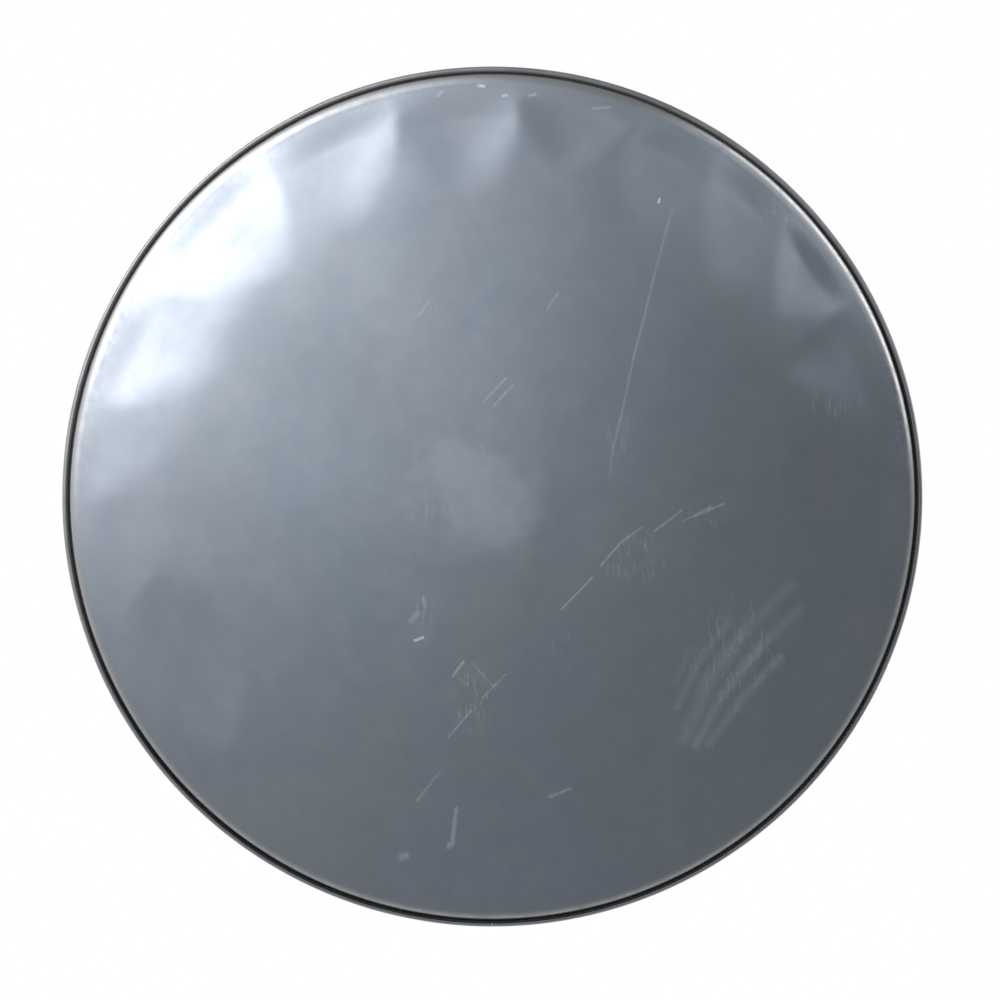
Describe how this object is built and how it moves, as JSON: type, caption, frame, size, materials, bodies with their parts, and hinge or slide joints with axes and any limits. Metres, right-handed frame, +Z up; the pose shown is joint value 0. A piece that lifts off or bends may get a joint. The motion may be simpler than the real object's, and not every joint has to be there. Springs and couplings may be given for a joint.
{
  "type": "convex security mirror",
  "caption": "Round domed steel security mirror with a rolled rim, carried on a telescopic wall arm that pans, extends, swivels and tilts.",
  "frame": {"origin": "centre of the wall plate's rear face, where it lies on the wall", "axes": "+Z up; +Y into the wall, so the wall is the plane Y = 0 and the mirror looks along -Y; +X to the right for someone facing the mirror"},
  "size_m": [0.6, 0.4301, 0.6],
  "materials": {
    "mirror_steel": "satin",
    "rim_steel": "satin",
    "pan_galvanised": "matte",
    "bracket_paint": "satin",
    "plated_tube": "polished",
    "zinc_hardware": "satin",
    "rubber_seal": "matte",
    "nylon_bush": "matte",
    "knob_plastic": "satin"
  },
  "bodies": {
    "wall_bracket": {"wall_plate": "bracket_paint", "wall_yoke": "bracket_paint", "pan_bolt": "zinc_hardware", "pan_washer_top": "zinc_hardware", "pan_washer_bottom": "zinc_hardware", "pan_locknut": "zinc_hardware"},
    "outer_arm": {"arm_barrel": "bracket_paint", "pan_bush_upper": "nylon_bush", "pan_bush_lower": "nylon_bush", "outer_tube": "bracket_paint", "clamp_collar": "bracket_paint", "guide_bush": "nylon_bush"},
    "lock_knob": {"extension_knob": "knob_plastic", "extension_screw": "zinc_hardware"},
    "inner_arm": {"inner_tube": "plated_tube", "inner_glide": "nylon_bush", "head_fork": "bracket_paint", "swivel_bolt": "zinc_hardware", "swivel_washer_top": "zinc_hardware", "swivel_washer_bottom": "zinc_hardware"},
    "swivel_nut": {"swivel_wing_nut": "zinc_hardware"},
    "knuckle": {"swivel_knuckle": "bracket_paint", "swivel_disc_top": "nylon_bush", "swivel_disc_bottom": "nylon_bush"},
    "mirror_head": {"tilt_bolt": "zinc_hardware", "tilt_washer_right": "zinc_hardware", "tilt_washer_left": "zinc_hardware", "tilt_disc_right": "nylon_bush", "tilt_disc_left": "nylon_bush", "head_bracket": "bracket_paint", "mirror_dome": "mirror_steel", "edge_gasket": "rubber_seal", "rim_hoop": "rim_steel", "hoop_joint_plate": "rim_steel", "hoop_rivet_left": "zinc_hardware", "hoop_rivet_right": "zinc_hardware", "back_pan": "pan_galvanised", "backing_disc": "zinc_hardware", "head_bolt_1": "zinc_hardware", "head_washer_1": "zinc_hardware", "head_nut_1": "zinc_hardware", "head_bolt_2": "zinc_hardware", "head_washer_2": "zinc_hardware", "head_nut_2": "zinc_hardware", "head_bolt_3": "zinc_hardware", "head_washer_3": "zinc_hardware", "head_nut_3": "zinc_hardware", "head_bolt_4": "zinc_hardware", "head_washer_4": "zinc_hardware", "head_nut_4": "zinc_hardware"},
    "tilt_nut": {"tilt_wing_nut": "zinc_hardware"}
  },
  "joints": [
    {"name": "arm_pan", "type": "hinge", "parent": "wall_bracket", "child": "outer_arm", "pos_m": [0, -0.044, 0], "axis": [0, 0, 1], "range_deg": [-30, 30]},
    {"name": "arm_extension", "type": "slide", "parent": "outer_arm", "child": "inner_arm", "axis": [0, -1, 0], "range_m": [0, 0.1]},
    {"name": "extension_knob_turn", "type": "hinge", "parent": "outer_arm", "child": "lock_knob", "pos_m": [0, -0.202, 0], "axis": [0, 0, 1], "range_deg": [-360, 144]},
    {"name": "head_swivel", "type": "hinge", "parent": "inner_arm", "child": "knuckle", "pos_m": [0, -0.275, 0], "axis": [0, 0, 1], "range_deg": [-25, 25]},
    {"name": "swivel_nut_turn", "type": "hinge", "parent": "inner_arm", "child": "swivel_nut", "pos_m": [0, -0.275, 0], "axis": [0, 0, 1], "range_deg": [-270, 0]},
    {"name": "head_tilt", "type": "hinge", "parent": "knuckle", "child": "mirror_head", "pos_m": [0, -0.313, 0], "axis": [1, 0, 0], "range_deg": [-20, 30]},
    {"name": "tilt_nut_turn", "type": "hinge", "parent": "mirror_head", "child": "tilt_nut", "pos_m": [0, -0.313, 0], "axis": [1, 0, 0], "range_deg": [-270, 0]}
  ]
}
